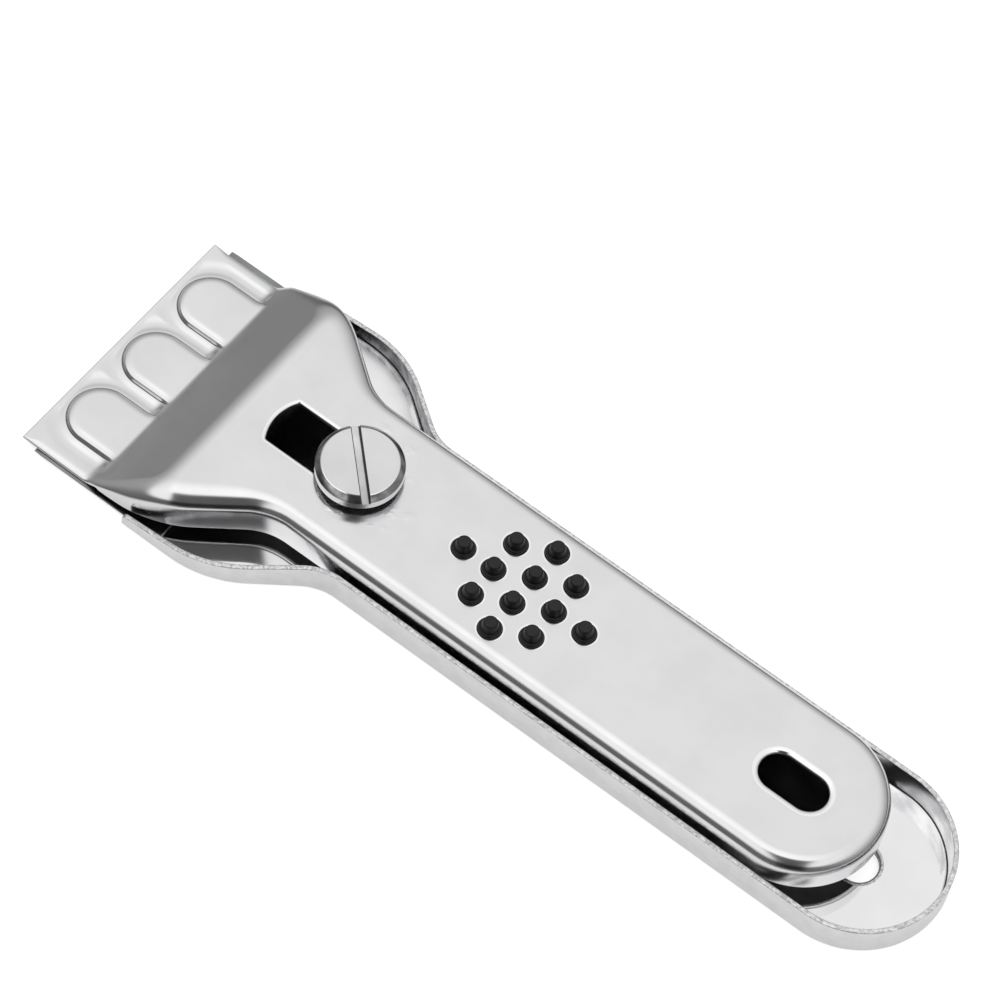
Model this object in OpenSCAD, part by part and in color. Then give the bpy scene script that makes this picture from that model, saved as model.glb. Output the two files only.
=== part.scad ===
// Stainless steel scraper for glass and ceramic hobs. A stamped tray carries the razor blade,
// a stamped cover slides in the tray and shields the edge, and a slotted screw clamps the two.
// Length runs along X from the blade to the tail, width along Y, and Z is up from the table.

/* [Blade] */
// Length of the cutting edge, across the tool
blade_width = 43; // [40:0.5:46]
// Depth of the blade from the edge to its back
blade_depth = 22; // [20:0.5:24]
// Thickness of the blade
blade_thickness = 0.3; // [0.2:0.05:0.5]
// Length of the ground bevel behind the edge
bevel_length = 1.2; // [0.8:0.1:2]

/* [Sheet metal] */
// Thickness of the sheet of the tray and the cover
sheet = 0.7; // [0.6:0.05:0.9]
// Outer bend radius along the top edge of the cover
edge_radius = 2.2; // [1.4:0.1:2.3]
// Inner bend radius along the bottom edge of the tray
foot_bend = 0.3; // [0.2:0.05:0.8]

/* [Top cover] */
// Height of the top face of the cover above the table
cover_height = 9.5; // [8.5:0.25:11]
// Outer width of the handle part of the cover
handle_width = 23.6; // [22.2:0.1:25.2]
// Distance from the screw to the centre of the round tail of the cover
handle_length = 74.5; // [64:0.5:84]
// Length of the flat lip over the blade
lip_length = 10.9; // [9:0.1:12]
// Length of the ramp between the lip and the top face
ramp_length = 11.3; // [9.5:0.1:12.5]
// Distance that the lip stands out past the edge when the blade is shielded
lip_guard = 2.4; // [1.5:0.1:3.5]
// Height of the lower edge of the cover skirt at its front end
skirt_foot = 2.6; // [1.6:0.1:2.7]
// Height of the lower edge of the cover skirt at the tail
tail_foot = 4; // [2.6:0.1:4.4]
// Length of the straight slope of each shoulder
shoulder_slope = 7; // [5:0.5:9]
// Radius of the outward bend between the head and the shoulder
shoulder_out = 17; // [12:0.5:20]
// Radius of the hollow bend between the shoulder and the handle
shoulder_in = 9.5; // [7:0.5:12]

/* [Tongues of the lip] */
// Height of the three raised tongues on the lip
tongue_height = 0.85; // [0.4:0.05:1.1]
// Width of each tongue
tongue_width = 8.6; // [7:0.2:10]
// Spacing of the tongues across the lip
tongue_pitch = 12; // [11:0.2:13]

/* [Bottom tray] */
// Height of the tray wall along the handle
wall_height = 6; // [4.5:0.25:7]
// Height of the tray wall at its front end
wall_front = 2.9; // [2:0.1:4]

/* [Sliding and clamping] */
// Travel of the cover between the shielded and the working position
travel = 9.7; // [7:0.1:10.5]
// Gap between the cover and the inside of the tray when they are nested
side_gap = 0.6; // [0.4:0.05:0.9]
// Diameter of the neck of the post, which guides the slot of the cover
post_diameter = 7; // [6.5:0.1:8]
// Diameter of the seat of the post, which carries the cover
seat_diameter = 10; // [9.4:0.2:12]
// Diameter of the screw thread
thread_diameter = 4; // [3.5:0.5:5]
// Diameter of the screw head
head_diameter = 12.4; // [11:0.2:14]
// Thickness of the screw head
head_height = 2.4; // [2:0.1:3]
// Distance that the loosened screw head stands above the cover
head_lift = 1.1; // [0.5:0.1:2]

/* [Grip studs] */
// Diameter of the stud holes in the cover
stud_diameter = 3.5; // [3:0.1:4]
// Height of the studs above the cover
stud_height = 1.9; // [0.8:0.1:2.2]
// Spacing of the stud rows along the handle
stud_row = 5.1; // [4.6:0.1:5.6]
// Spacing of the studs within a row
stud_gap = 5; // [4.5:0.1:5.2]

/* [Hanging hole] */
// Width of the hanging hole
hang_width = 5.6; // [5:0.1:7]
// Length of the hanging hole
hang_length = 10.3; // [8:0.1:11.5]

/* [Hidden] */
$fn = 64;

// Heights, from the table upwards
slide_gap = 0.05;
blade_top = sheet + blade_thickness;
lip_under = blade_top + slide_gap;
lip_top = lip_under + sheet;
cover_under = cover_height - sheet;

// Plan outline of the cover skirt, with the screw at x = 0
blade_play = 0.1;
foot_radius = sheet + foot_bend;
head_half = blade_width / 2 + blade_play + foot_bend - side_gap;
lip_inset = 0.2;
lip_half = head_half - lip_inset;
handle_half = handle_width / 2;
shoulder_radii = shoulder_out + shoulder_in;
shoulder_drop = head_half - handle_half;
shoulder_chord = norm([shoulder_radii, shoulder_slope]);
shoulder_angle = acos((shoulder_radii - shoulder_drop) / shoulder_chord) - atan2(shoulder_slope, shoulder_radii);
shoulder_run = shoulder_radii * sin(shoulder_angle) + shoulder_slope * cos(shoulder_angle);
shoulder_x = -24.5;
neck_x = shoulder_x + shoulder_run;
tail_x = handle_length;

// Positions along the tool, with the screw at x = 0
blade_back = -17.5;
blade_front = blade_back - blade_depth;
lip_front = blade_front - lip_guard;
ramp_front = lip_front + lip_length;
ramp_back = ramp_front + ramp_length;
skirt_set = 2.7;
skirt_front = ramp_front + skirt_set;
foot_rise = (tail_foot - skirt_foot) / (tail_x + handle_half - skirt_front);
tray_reach = 4.7;
tray_front = blade_back - tray_reach;
edge_reach = 3.9;
jaw_front = blade_front + edge_reach;
jaw_inset = 0.5;
jaw_half = blade_width / 2 - jaw_inset;
tray_skin = side_gap + sheet;
tail_end = tail_x + handle_half + tray_skin + travel;

// Slot in the cover for the post
post_gap = 0.2;
slot_half = post_diameter / 2 + post_gap;
slot_round = 7;
slot_spare = 1;
slot_front = -(slot_half + travel + slot_spare);

// Studs
stud_x = 28.1;
stud_counts = [1, 3, 4, 3, 1];
pad_thickness = 1.2;
pad_border = 1.5;
pad_play = 0.1;
pad_length = (len(stud_counts) - 1) * stud_row + stud_diameter + 2 * pad_border;
pad_half = handle_half - edge_radius - pad_play;
stud_tip = 2.2;

// Hanging holes, which line up when the cover is drawn back
hang_set = 1.7;
hang_x = tail_x - hang_set;

// Post and screw
thread_gap = 0.04;
neck_drop = 0.3;
post_top = cover_height - neck_drop;
seat_top = cover_under - slide_gap;
spigot_step = 0.9;
spigot_diameter = post_diameter - 2 * spigot_step;
spigot_root = 0.5;
bore_web = 0.3;
bore_floor = sheet + bore_web;
head_under = cover_height + head_lift;
shank_gap = 0.3;
shank_length = cover_height - bore_floor - shank_gap;
head_foot = 0.3;
head_slot_width = 1.25;
head_slot_depth = 1.1;
head_chamfer = 0.8;
head_slot_turn = -44.8;

// The middle of the whole length is at the origin
centre_shift = -(lip_front + tail_end) / 2;

// Reach of cutting solids past the faces that they cut
past = 1;
wide = 2 * blade_width;

steel = [0.80, 0.81, 0.82];
bright = [0.88, 0.89, 0.90];
black = [0.08, 0.08, 0.09];

// Slab with the plan of the skirt, grown by d, that starts at x = front and runs round the tail
module slab(d, front, h) {
  c = [shoulder_x, head_half - shoulder_out];
  e = [neck_x, handle_half + shoulder_in];
  n = [sin(shoulder_angle), cos(shoulder_angle)];
  t1 = c + (shoulder_out + d) * n;
  t2 = e - (shoulder_in - d) * n;
  far = 2 * shoulder_out;
  translate([front, -head_half - d, 0]) cube([shoulder_x - front, 2 * (head_half + d), h]);
  difference() {
    linear_extrude(h)
      polygon([
        [shoulder_x, head_half + d], t1, t2, [neck_x, handle_half + d],
        [neck_x, -handle_half - d], [t2[0], -t2[1]], [t1[0], -t1[1]], [shoulder_x, -head_half - d]
      ]);
    for (s = [-1, 1]) {
      translate([neck_x, s * (handle_half + shoulder_in), -past])
        cylinder(r = shoulder_in - d, h = h + 2 * past);
    }
  }
  for (s = [0, 1]) {
    mirror([0, s, 0]) {
      intersection() {
        translate([c[0], c[1], 0]) cylinder(r = shoulder_out + d, h = h);
        translate([0, 0, -past])
          linear_extrude(h + 2 * past) polygon([c, c + [0, far], c + far * n]);
      }
    }
  }
  translate([neck_x, -handle_half - d, 0]) cube([tail_x - neck_x, 2 * (handle_half + d), h]);
  translate([tail_x, 0, 0]) cylinder(r = handle_half + d, h = h);
}

// Sweeps a rim section, outwards along x and upwards along y, round the same outline
module rim(front) {
  c = [shoulder_x, head_half - shoulder_out, 0];
  e = [neck_x, handle_half + shoulder_in, 0];
  n = [sin(shoulder_angle), cos(shoulder_angle), 0];
  for (s = [0, 1]) {
    mirror([0, s, 0]) {
      translate([front, head_half, 0])
        rotate([90, 0, 90]) linear_extrude(shoulder_x - front) children();
      translate(c)
        rotate([0, 0, 90 - shoulder_angle])
          rotate_extrude(angle = shoulder_angle) translate([shoulder_out, 0]) children();
      translate(c + shoulder_out * n)
        rotate([0, 0, -shoulder_angle])
          rotate([90, 0, 90]) linear_extrude(shoulder_slope) children();
      translate(e)
        rotate([0, 0, 270 - shoulder_angle])
          rotate_extrude(angle = shoulder_angle) translate([shoulder_in, 0]) mirror([1, 0]) children();
      translate([neck_x, handle_half, 0])
        rotate([90, 0, 90]) linear_extrude(tail_x - neck_x) children();
    }
  }
  translate([tail_x, 0, 0])
    rotate([0, 0, -90]) rotate_extrude(angle = 180) translate([handle_half, 0]) children();
}

// A side view, drawn with x along the tool and y upwards, cut through the whole width
module across(half) {
  translate([0, half, 0]) rotate([90, 0, 0]) linear_extrude(2 * half) children();
}

// Long hole with round ends along the tool
module long_hole(length, width) {
  straight = (length - width) / 2;
  translate([-straight, 0]) circle(width / 2);
  translate([straight, 0]) circle(width / 2);
  translate([-straight, -width / 2]) square([2 * straight, width]);
}

// Quarter of a bend between the two sheet faces, in the corner towards (sx, sy)
module bend(radius, sx, sy) {
  intersection() {
    difference() {
      circle(radius);
      circle(radius - sheet);
    }
    translate([sx > 0 ? 0 : -radius, sy > 0 ? 0 : -radius]) square(radius);
  }
}

module tray_section() {
  translate([side_gap, foot_radius]) square([sheet, wall_height - foot_radius]);
  translate([tray_skin - foot_radius, foot_radius]) bend(foot_radius, 1, -1);
}

// Height of the lower edge of the cover skirt, which rises from the front end to the tail
function skirt_low(x) = skirt_foot + foot_rise * (x - skirt_front);

module cover_section() {
  translate([-sheet, 0]) square([sheet, cover_height - edge_radius]);
  translate([-edge_radius, cover_height - edge_radius]) bend(edge_radius, 1, 1);
}

// Stamped tray: floor, walls round the outline, jaw under the blade and two blade stops
module bottom_tray() {
  start = tray_front - travel;
  wall_nose = 0.8;
  stop_radius = 1.5;
  stop_height = 0.8;
  color(steel)
    difference() {
      union() {
        translate([travel, 0, 0]) {
          intersection() {
            rim(start) tray_section();
            across(wide)
              polygon([
                [start, 0], [start, wall_front - wall_nose], [start + wall_nose, wall_front],
                [neck_x, wall_height], [tail_x + wide, wall_height], [tail_x + wide, 0]
              ]);
          }
          slab(tray_skin - foot_radius, start, sheet);
        }
        translate([jaw_front, -jaw_half, 0]) cube([tray_front - jaw_front + past, 2 * jaw_half, sheet]);
        for (s = [-1, 1]) {
          translate([blade_back + stop_radius + slide_gap, s * blade_width / 4, sheet / 2])
            cylinder(r = stop_radius, h = sheet / 2 + stop_height);
        }
      }
      translate([hang_x + travel, 0, -past])
        linear_extrude(sheet + 2 * past) long_hole(hang_length, hang_width);
      translate([0, 0, -past]) cylinder(d = spigot_diameter, h = sheet + 2 * past);
    }
}

// Single edged blade that lies on the tray floor with its back against the stops
module blade() {
  middle = blade_thickness / 2;
  flat = 0.02;
  color(bright)
    translate([blade_front, 0, sheet])
      across(blade_width / 2)
        polygon([
          [0, middle - flat], [bevel_length, 0], [blade_depth, 0],
          [blade_depth, blade_thickness], [bevel_length, blade_thickness], [0, middle + flat]
        ]);
}

// Threaded post, riveted into the tray floor: its seat carries the cover and its neck guides the slot
module screw_post() {
  color(steel)
    difference() {
      union() {
        cylinder(d = spigot_diameter, h = sheet + spigot_root);
        translate([0, 0, sheet]) cylinder(d = seat_diameter, h = seat_top - sheet);
        translate([0, 0, sheet]) cylinder(d = post_diameter, h = post_top - sheet);
      }
      translate([0, 0, bore_floor]) cylinder(d = thread_diameter + 2 * thread_gap, h = cover_height);
    }
}

// Plan of one raised tongue, grown by d, that runs back into the ramp
module tongue_plan(d) {
  half = tongue_width / 2;
  tongue_set = 1.75;
  nose = lip_front + tongue_set + half;
  translate([nose, 0]) circle(half + d);
  translate([nose, -half - d]) square([ramp_back - nose, 2 * (half + d)]);
}

// Stamped cover: lip with three tongues, ramp, top face, skirt and the openings
module top_cover() {
  slope = (cover_height - lip_top) / ramp_length;
  skin = sheet * sqrt(1 + slope * slope);
  ramp_start = [ramp_front, lip_top];
  ramp_end = [ramp_back + past, cover_height + past * slope];
  color(steel)
    difference() {
      union() {
        intersection() {
          union() {
            rim(skirt_front) cover_section();
            translate([0, 0, cover_under]) slab(-edge_radius, skirt_front, sheet);
          }
          across(wide)
            polygon([
              [ramp_front, 0], ramp_start, ramp_end,
              [tail_x + wide, ramp_end[1]], [tail_x + wide, skirt_low(tail_x + wide)],
              [skirt_front - past, skirt_low(skirt_front - past)]
            ]);
        }
        intersection() {
          across(wide)
            polygon([ramp_start - [0, skin], ramp_end - [0, skin], ramp_end, ramp_start]);
          union() {
            slab(0, skirt_front, cover_height);
            translate([ramp_front, -lip_half, 0]) cube([ramp_length, 2 * lip_half, cover_height]);
          }
          translate([ramp_front, -wide, lip_under])
            cube([wide, 2 * wide, cover_height - lip_under]);
        }
        translate([lip_front, -lip_half, lip_under])
          cube([lip_length + sheet, 2 * lip_half, sheet]);
        for (s = [-1, 0, 1]) {
          intersection() {
            translate([0, s * tongue_pitch, lip_top - sheet / 2])
              linear_extrude(tongue_height + sheet / 2) tongue_plan(0);
            across(wide)
              polygon([
                [lip_front, 0], [lip_front, lip_top + tongue_height],
                [ramp_front + (tongue_height + skin / 2) / slope, lip_top + tongue_height],
                [ramp_front - (lip_top - skin / 2) / slope, 0]
              ]);
          }
        }
      }
      for (s = [-1, 0, 1]) {
        intersection() {
          translate([0, s * tongue_pitch, lip_under - past])
            linear_extrude(tongue_height + past) tongue_plan(-sheet);
          across(wide)
            polygon([
              [lip_front, lip_under - past], [lip_front, lip_under + tongue_height],
              [ramp_front + (tongue_height - skin + sheet) / slope, lip_under + tongue_height],
              [ramp_front - (skin - sheet + past) / slope, lip_under - past]
            ]);
        }
      }
      translate([0, 0, cover_under - past]) linear_extrude(sheet + 2 * past) slot_plan();
      for (p = stud_places) {
        translate([p[0], p[1], cover_under - past])
          cylinder(d = stud_diameter, h = sheet + 2 * past);
      }
      translate([hang_x, 0, cover_under - past])
        linear_extrude(sheet + 2 * past) long_hole(hang_length, hang_width);
    }
}

// Slot with a shallow curved front end and a round back end
module slot_plan() {
  intersection() {
    translate([slot_front + slot_round, 0]) circle(slot_round);
    translate([slot_front, -slot_half]) square([slot_round, 2 * slot_half]);
  }
  translate([slot_front + slot_round, -slot_half])
    square([-slot_front - slot_round, 2 * slot_half]);
  circle(slot_half);
}

stud_places = [
  for (i = [0 : len(stud_counts) - 1])
    for (j = [0 : stud_counts[i] - 1])
      [stud_x + (i - 2) * stud_row, (j - (stud_counts[i] - 1) / 2) * stud_gap]
];

// Rubber pad under the top face, with studs pressed up through the holes
module grip_pad() {
  color(black) {
    translate([stud_x - pad_length / 2, -pad_half, cover_under - pad_thickness])
      cube([pad_length, 2 * pad_half, pad_thickness]);
    for (p = stud_places) {
      translate([p[0], p[1], cover_under - pad_thickness / 2])
        cylinder(d = stud_diameter, h = sheet + pad_thickness / 2);
      translate([p[0], p[1], cover_height])
        cylinder(d1 = stud_diameter, d2 = stud_tip, h = stud_height);
    }
  }
}

// Slotted screw with a wide flat head; the thread is a plain cylinder
module clamp_screw() {
  r = head_diameter / 2;
  color(bright)
    translate([0, 0, head_under])
      difference() {
        union() {
          rotate_extrude()
            polygon([
              [0, 0], [r - head_foot, 0], [r, head_foot], [r, head_height - head_chamfer],
              [r - head_chamfer, head_height], [0, head_height]
            ]);
          translate([0, 0, -shank_length])
            cylinder(d = thread_diameter, h = shank_length + head_foot);
        }
        rotate([0, 0, head_slot_turn])
          translate([-head_diameter, -head_slot_width / 2, head_height - head_slot_depth])
            cube([2 * head_diameter, head_slot_width, head_height]);
      }
}

translate([centre_shift, 0, 0]) {
  bottom_tray();
  blade();
  screw_post();
  top_cover();
  grip_pad();
  clamp_screw();
}
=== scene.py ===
import math

import bmesh
import bpy
import numpy as np
from mathutils import Matrix, Vector
from mathutils.geometry import delaunay_2d_cdt


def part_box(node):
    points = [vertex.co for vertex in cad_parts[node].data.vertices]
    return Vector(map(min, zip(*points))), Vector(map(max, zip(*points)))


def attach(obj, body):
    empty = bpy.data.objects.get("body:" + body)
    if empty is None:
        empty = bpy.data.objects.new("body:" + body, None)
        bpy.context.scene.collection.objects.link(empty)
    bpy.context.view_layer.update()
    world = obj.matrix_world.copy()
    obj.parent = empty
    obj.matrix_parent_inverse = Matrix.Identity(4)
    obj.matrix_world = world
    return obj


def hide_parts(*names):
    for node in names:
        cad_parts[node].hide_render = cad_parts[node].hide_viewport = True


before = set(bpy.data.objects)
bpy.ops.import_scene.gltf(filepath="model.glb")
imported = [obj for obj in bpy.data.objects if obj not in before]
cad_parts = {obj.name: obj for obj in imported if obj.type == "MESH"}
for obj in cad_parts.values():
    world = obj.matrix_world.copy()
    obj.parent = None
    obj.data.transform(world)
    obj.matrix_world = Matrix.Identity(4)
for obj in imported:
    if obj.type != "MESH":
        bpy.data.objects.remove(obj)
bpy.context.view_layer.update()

# Camera
# The tool is seen from above its tail and its near side, through a long lens, in a picture that is
# turned a little clockwise. Lengths are in millimetres here and in every section below.
MM = 0.001
image_pixels = 1001
focal_pixels = 4200
sensor_width = 36
view_azimuth = math.radians(29.846)
view_elevation = math.radians(59.404)
view_roll = math.radians(8.707)
view_distance = 580.64
view_target = Vector((-13.250, 13.959, 0))

back = Vector((
    math.sin(view_azimuth) * math.cos(view_elevation),
    -math.cos(view_azimuth) * math.cos(view_elevation),
    math.sin(view_elevation),
))
level = Vector((math.cos(view_azimuth), math.sin(view_azimuth), 0))
upright = back.cross(level)
right = level * math.cos(view_roll) + upright * math.sin(view_roll)
up = upright * math.cos(view_roll) - level * math.sin(view_roll)
eye = (view_target + back * view_distance) * MM

lens = bpy.data.cameras.new("lens")
lens.sensor_width = sensor_width
lens.lens = focal_pixels / image_pixels * sensor_width
lens.clip_start = 0.01
camera = bpy.data.objects.new("camera", lens)
camera.matrix_world = Matrix((
    (right.x, up.x, back.x, eye.x),
    (right.y, up.y, back.y, eye.y),
    (right.z, up.z, back.z, eye.z),
    (0, 0, 0, 1),
))
bpy.context.scene.collection.objects.link(camera)
bpy.context.scene.camera = camera

# Bottom tray
# A stamped stainless steel tray: a flat floor, walls bent up round the handle and the shoulders, and
# a flat jaw under the blade. Its tail has the hanging hole, and two pressed pips stop the blade.
screw_low, screw_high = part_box("clamp_screw")
screw_x = (screw_low.x + screw_high.x) / 2 / MM
sheet = 0.7
travel = 9.7
side_gap = 0.6
head_half = 21.3
handle_half = 11.8
tail_x = 74.5
shoulder_x = -24.5
shoulder_out = 17.0
shoulder_in = 9.5
shoulder_lean = math.asin(0.6)
neck_x = -3.0
tray_front = -22.2
jaw_front = -35.6
wall_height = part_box("bottom_tray")[1].z / MM
wall_front = 2.9
wall_lead = 0.8
wall_nose = 0.8
rim_round = 0.12
foot_bend = 0.3
floor_edge = -0.3
hang_half = 2.8
hang_straight = 2.35
hang_x = 72.8
spigot_half = 2.6


def rounded(centre, radius, start, stop, steps):
    """Points centre + radius (cos a, sin a), with the angle a from start to stop in degrees."""
    a = np.radians(np.linspace(start, stop, steps + 1))
    return np.column_stack([centre[0] + radius * np.cos(a), centre[1] + radius * np.sin(a)])


def stamping_plan(head):
    """Plan that the tray and the cover share, and its outward normals. It runs along the +Y side from
    the x values of the head, out of it on an arc, down a slope, on a second arc into the straight
    handle and round the tail on a quarter circle, and then comes back mirrored on the -Y side."""
    arc_steps, slope_steps, handle_steps, tail_steps = 16, 8, 60, 40
    lean = np.linspace(0, shoulder_lean, arc_steps)
    arc = np.column_stack([np.sin(lean), np.cos(lean)])
    first = np.array([shoulder_x, head_half - shoulder_out])
    second = np.array([neck_x, handle_half + shoulder_in])
    slope = np.linspace(0, 1, slope_steps)[1:-1, None]
    slope_top = first + shoulder_out * arc[-1]
    slope_foot = second - shoulder_in * arc[-1]
    handle = np.linspace(neck_x, tail_x, handle_steps)[1:-1]
    turn = np.linspace(0, np.pi / 2, tail_steps)
    tail = np.column_stack([np.sin(turn), np.cos(turn)])
    points = np.concatenate([
        np.column_stack([head, np.full(len(head), head_half)]),
        first + shoulder_out * arc,
        slope_top + slope * (slope_foot - slope_top),
        second - shoulder_in * arc[::-1],
        np.column_stack([handle, np.full(len(handle), handle_half)]),
        np.array([tail_x, 0]) + handle_half * tail,
    ])
    normals = np.concatenate([
        np.tile([0.0, 1.0], (len(head), 1)),
        arc,
        np.tile(arc[-1], (len(slope), 1)),
        arc[::-1],
        np.tile([0.0, 1.0], (len(handle), 1)),
        tail,
    ])
    return (np.concatenate([points, points[-2::-1] * [1, -1]]),
            np.concatenate([normals, normals[-2::-1] * [1, -1]]))


def carry(path, normals, across, height):
    """Surface of a section carried along a path: point (i, k) is path i plus across k times the
    normal i, at height k. across and height are one section, or one for each point of the path."""
    across = np.broadcast_to(across, (len(path), np.shape(across)[-1]))
    height = np.broadcast_to(height, across.shape)
    return np.dstack([path[:, None] + across[..., None] * normals[:, None], height])


def grid_faces(rows, columns, loop=False):
    """Four-sided faces of a grid of points, by row and column; a loop joins the last row to the first."""
    i = np.arange(rows if loop else rows - 1)[:, None]
    j = np.arange(columns - 1)[None]
    a = i * columns + j
    b = (i + 1) % rows * columns + j
    return np.stack([a, b, b + 1, a + 1], -1)


def fill(loops, inner):
    """Triangles of a flat sheet inside the first loop and outside the others, through inner points."""
    sizes = [len(loop) for loop in loops]
    starts = np.cumsum([0] + sizes[:-1])
    edges = np.concatenate([
        np.column_stack([s + np.arange(n), s + (np.arange(n) + 1) % n]) for s, n in zip(starts, sizes)
    ])
    points = np.concatenate(list(loops) + [inner])
    found = delaunay_2d_cdt([Vector(p) for p in points], edges.tolist(), [], 1, 1e-5)
    owner = np.concatenate([np.full(n, k) for k, n in enumerate(sizes)] + [np.zeros(len(inner), int)])
    spots = owner[[first[0] for first in found[3]]]
    faces = np.array(found[2])
    corners = spots[faces]
    in_hole = (corners[:, 0] > 0) & (corners == corners[:, :1]).all(axis=1)
    return np.array([tuple(p) for p in found[0]]), faces[~in_hole]


def lathe(profile, steps=96):
    """Surface of a profile of (radius, height) points turned round the Z axis."""
    turn = np.linspace(0, 2 * np.pi, steps, endpoint=False)[:, None]
    r, z = np.array(profile, float).T
    return np.dstack([r * np.cos(turn), r * np.sin(turn), z + 0 * turn]), grid_faces(steps, len(r), True)


def make_piece(name, shells, body, node, materials, sharp=35):
    """One mesh from shells. Each has points in millimetres from the axis of the screw, an array of faces
    and the number of its material. The piece rides on a body and stands for a node of the frame."""
    points = [np.reshape(spots, (-1, 3)) for spots, _, _ in shells]
    starts = np.cumsum([0] + [len(spots) for spots in points])
    faces = []
    numbers = []
    for (_, corners, number), start in zip(shells, starts):
        corners = np.reshape(corners, (-1, np.shape(corners)[-1])) + start
        faces += corners.tolist()
        numbers += [number] * len(corners)
    mesh = bpy.data.meshes.new(name)
    mesh.from_pydata(((np.concatenate(points) + [screw_x, 0, 0]) * MM).tolist(), [], faces)
    mesh.polygons.foreach_set("material_index", numbers)
    merge = 0.002 * MM
    work = bmesh.new()
    work.from_mesh(mesh)
    bmesh.ops.remove_doubles(work, verts=work.verts, dist=merge)
    bmesh.ops.dissolve_degenerate(work, edges=work.edges, dist=merge)
    bmesh.ops.recalc_face_normals(work, faces=work.faces)
    work.to_mesh(mesh)
    work.free()
    mesh.shade_smooth()
    mesh.set_sharp_from_angle(angle=math.radians(sharp))
    for material in materials:
        mesh.materials.append(material)
    piece = bpy.data.objects.new(name, mesh)
    bpy.context.scene.collection.objects.link(piece)
    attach(piece, body)
    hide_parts(node)
    return piece


def hole_rim(path, normals, roll, drop, reach, top):
    """Rim of a punched hole as two shells. The top face rolls into the hole over the width roll and the
    depth drop, and the punched wall goes down to the underside. reach is the width of the flat."""
    t = np.radians(np.linspace(0, 90, 8))
    edge = 0.08
    under = top - sheet
    across = np.concatenate([[reach], roll * (1 - np.sin(t)), [0, edge, reach]])
    height = np.concatenate([[top], top - drop * (1 - np.cos(t)), [under + edge, under, under]])
    grid = carry(path, normals, across, height)
    rolled, punched = np.split(grid_faces(len(path), len(across), True), [len(t)], axis=1)
    # The rolled face takes material 2 and the punched wall material 1: on the cover a painted highlight and a
    # painted shade, on the tray rough rim steel and a painted shade.
    return [(grid, rolled, 2), (grid, punched, 1)]


def long_hole(x, half, straight, steps=20):
    """Plan and outward normals of a long hole with round ends, centred on x."""
    turn = np.radians(np.linspace(-90, 90, steps))
    end = np.column_stack([np.cos(turn), np.sin(turn)])
    normals = np.concatenate([end, -end])
    shift = np.repeat([[x + straight, 0], [x - straight, 0]], steps, axis=0)
    return shift + half * normals, normals


def ring(x, y, half, steps=40):
    """Plan and outward normals of a round hole."""
    turn = np.linspace(0, 2 * np.pi, steps, endpoint=False)
    normals = np.column_stack([np.cos(turn), np.sin(turn)])
    return np.array([x, y]) + half * normals, normals


def polish_group():
    """Node group for every polished steel face. Lines are fine noise drawn out along X, put out as a
    height. Haze is slow noise that mixes two colours and two roughnesses."""
    group = bpy.data.node_groups.new("polish_marks", "ShaderNodeTree")
    sockets = group.interface
    for name in ("Line Scale", "Haze Scale", "Low Roughness", "High Roughness"):
        sockets.new_socket(name, in_out="INPUT", socket_type="NodeSocketFloat")
    for name in ("Light", "Dull"):
        sockets.new_socket(name, in_out="INPUT", socket_type="NodeSocketColor")
    sockets.new_socket("Color", in_out="OUTPUT", socket_type="NodeSocketColor")
    for name in ("Roughness", "Height"):
        sockets.new_socket(name, in_out="OUTPUT", socket_type="NodeSocketFloat")
    nodes, links = group.nodes, group.links
    given = nodes.new("NodeGroupInput")
    result = nodes.new("NodeGroupOutput")
    place = nodes.new("ShaderNodeTexCoord")
    draw = nodes.new("ShaderNodeMapping")
    draw.inputs["Scale"].default_value = (60, 2600, 2600)
    scale = nodes.new("ShaderNodeVectorMath")
    scale.operation = "SCALE"
    lines = nodes.new("ShaderNodeTexNoise")
    lines.inputs["Scale"].default_value = 1
    lines.inputs["Detail"].default_value = 3
    haze = nodes.new("ShaderNodeTexNoise")
    haze.inputs["Detail"].default_value = 4
    patch = nodes.new("ShaderNodeMapRange")
    patch.inputs["From Min"].default_value = 0.35
    patch.inputs["From Max"].default_value = 0.65
    span = nodes.new("ShaderNodeMapRange")
    tint = nodes.new("ShaderNodeMix")
    tint.data_type = "RGBA"
    links.new(place.outputs["Object"], draw.inputs["Vector"])
    links.new(draw.outputs["Vector"], scale.inputs[0])
    links.new(given.outputs["Line Scale"], scale.inputs["Scale"])
    links.new(scale.outputs["Vector"], lines.inputs["Vector"])
    links.new(place.outputs["Object"], haze.inputs["Vector"])
    links.new(given.outputs["Haze Scale"], haze.inputs["Scale"])
    links.new(haze.outputs["Fac"], patch.inputs["Value"])
    links.new(patch.outputs["Result"], span.inputs["Value"])
    links.new(given.outputs["Low Roughness"], span.inputs["To Min"])
    links.new(given.outputs["High Roughness"], span.inputs["To Max"])
    links.new(patch.outputs["Result"], tint.inputs["Factor"])
    links.new(given.outputs["Light"], tint.inputs["A"])
    links.new(given.outputs["Dull"], tint.inputs["B"])
    links.new(tint.outputs["Result"], result.inputs["Color"])
    links.new(span.outputs["Result"], result.inputs["Roughness"])
    links.new(lines.outputs["Fac"], result.inputs["Height"])
    return group


polish_marks = polish_group()


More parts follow.
